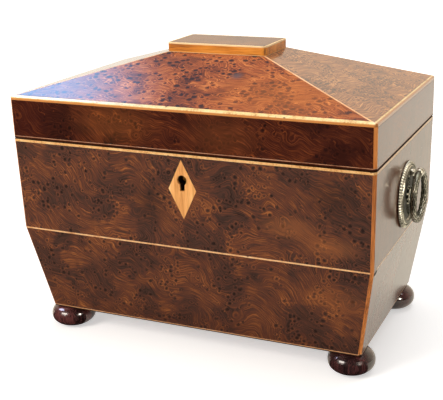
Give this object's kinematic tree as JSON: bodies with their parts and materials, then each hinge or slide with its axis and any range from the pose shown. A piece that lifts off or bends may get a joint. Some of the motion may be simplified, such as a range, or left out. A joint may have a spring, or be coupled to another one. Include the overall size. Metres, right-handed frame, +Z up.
{
  "type": "tea caddy",
  "caption": "Veneered sarcophagus tea caddy with a hipped lid, bun feet, ring handles, a lock, lift-out lidded canisters and a glass mixing bowl.",
  "frame": {"origin": "on the floor under the middle of the case", "axes": "+Z up, the front with the escutcheon faces -Y, +X to the right seen from the front"},
  "size_m": [0.3044, 0.1715, 0.2244],
  "materials": {
    "carcase_mahogany": "satin",
    "burr_yew_front": "gloss",
    "burr_yew_side": "gloss",
    "burr_yew_lid": "gloss",
    "boxwood": "gloss",
    "satinwood_edging": "gloss",
    "rosewood": "gloss",
    "brass": "satin",
    "brass_screw": "satin",
    "interior_rosewood": "satin",
    "glass": "clear, cut",
    "canister_yew": "gloss",
    "tin_foil": "dull",
    "bone": "satin",
    "handle_brass": "aged",
    "lid_velvet": "matte"
  },
  "bodies": {
    "case": {"front_board": "carcase_mahogany", "back_board": "carcase_mahogany", "left_board": "carcase_mahogany", "right_board": "carcase_mahogany", "bottom_board": "carcase_mahogany", "front_upper_veneer": "burr_yew_front", "front_lower_veneer": "burr_yew_front", "back_veneer": "burr_yew_front", "left_veneer": "burr_yew_side", "right_veneer": "burr_yew_side", "waist_stringing": "boxwood", "base_edging": "boxwood", "rim_edging": "boxwood", "corner_edging": "satinwood_edging", "escutcheon": "boxwood", "foot_front_left": "rosewood", "foot_front_right": "rosewood", "foot_back_left": "rosewood", "foot_back_right": "rosewood", "lock_case": "brass", "hinge_case_leaves": "brass", "hinge_pins": "brass_screw", "case_screws": "brass_screw", "dividers": "interior_rosewood", "well_lining": "interior_rosewood", "bowl_panel": "interior_rosewood", "handle_left_plate": "handle_brass", "handle_left_bolt": "handle_brass", "handle_right_plate": "handle_brass", "handle_right_bolt": "handle_brass"},
    "lid": {"lid_rails": "carcase_mahogany", "roof_boards": "carcase_mahogany", "lid_band_veneer": "burr_yew_lid", "roof_front_veneer": "burr_yew_lid", "roof_back_veneer": "burr_yew_lid", "roof_left_veneer": "burr_yew_lid", "roof_right_veneer": "burr_yew_lid", "lid_top_edging": "boxwood", "lid_bottom_edging": "boxwood", "lid_corner_edging": "satinwood_edging", "hip_stringing": "boxwood", "cap_block": "carcase_mahogany", "cap_edging": "satinwood_edging", "cap_veneer": "burr_yew_lid", "lid_lining": "lid_velvet", "lock_link_plate": "brass", "hinge_lid_leaves": "brass", "lid_screws": "brass_screw"},
    "lock_bolt": {"lock_bolt": "brass"},
    "mixing_bowl": {"mixing_bowl": "glass"},
    "canister_left": {"canister_left_box": "canister_yew", "canister_left_foil": "tin_foil"},
    "canister_left_lid": {"canister_left_lid": "canister_yew", "canister_left_knob": "bone"},
    "canister_right": {"canister_right_box": "canister_yew", "canister_right_foil": "tin_foil"},
    "canister_right_lid": {"canister_right_lid": "canister_yew", "canister_right_knob": "bone"},
    "handle_left_ring": {"handle_left_ring": "handle_brass"},
    "handle_right_ring": {"handle_right_ring": "handle_brass"}
  },
  "joints": [
    {"name": "lid_hinge", "type": "hinge", "parent": "case", "child": "lid", "pos_m": [0, 0.0853, 0.15835], "axis": [-1, 0, 0], "range_deg": [0, 95]},
    {"name": "lock_bolt_slide", "type": "slide", "parent": "case", "child": "lock_bolt", "axis": [1, 0, 0], "range_m": [0, 0.004]},
    {"name": "handle_left_swing", "type": "hinge", "parent": "case", "child": "handle_left_ring", "pos_m": [-0.1492, 0, 0.1351], "axis": [0, 1, 0], "range_deg": [0, 160]},
    {"name": "handle_right_swing", "type": "hinge", "parent": "case", "child": "handle_right_ring", "pos_m": [0.1492, 0, 0.1351], "axis": [0, -1, 0], "range_deg": [0, 160]},
    {"name": "canister_left_lift", "type": "slide", "parent": "case", "child": "canister_left", "axis": [0, 0, 1], "range_m": [0, 0.02]},
    {"name": "canister_left_lid_lift", "type": "slide", "parent": "canister_left", "child": "canister_left_lid", "axis": [0, 0, 1], "range_m": [0, 0.02]},
    {"name": "canister_right_lift", "type": "slide", "parent": "case", "child": "canister_right", "axis": [0, 0, 1], "range_m": [0, 0.02]},
    {"name": "canister_right_lid_lift", "type": "slide", "parent": "canister_right", "child": "canister_right_lid", "axis": [0, 0, 1], "range_m": [0, 0.02]},
    {"name": "mixing_bowl_lift", "type": "slide", "parent": "case", "child": "mixing_bowl", "axis": [0, 0, 1], "range_m": [0, 0.024]}
  ]
}
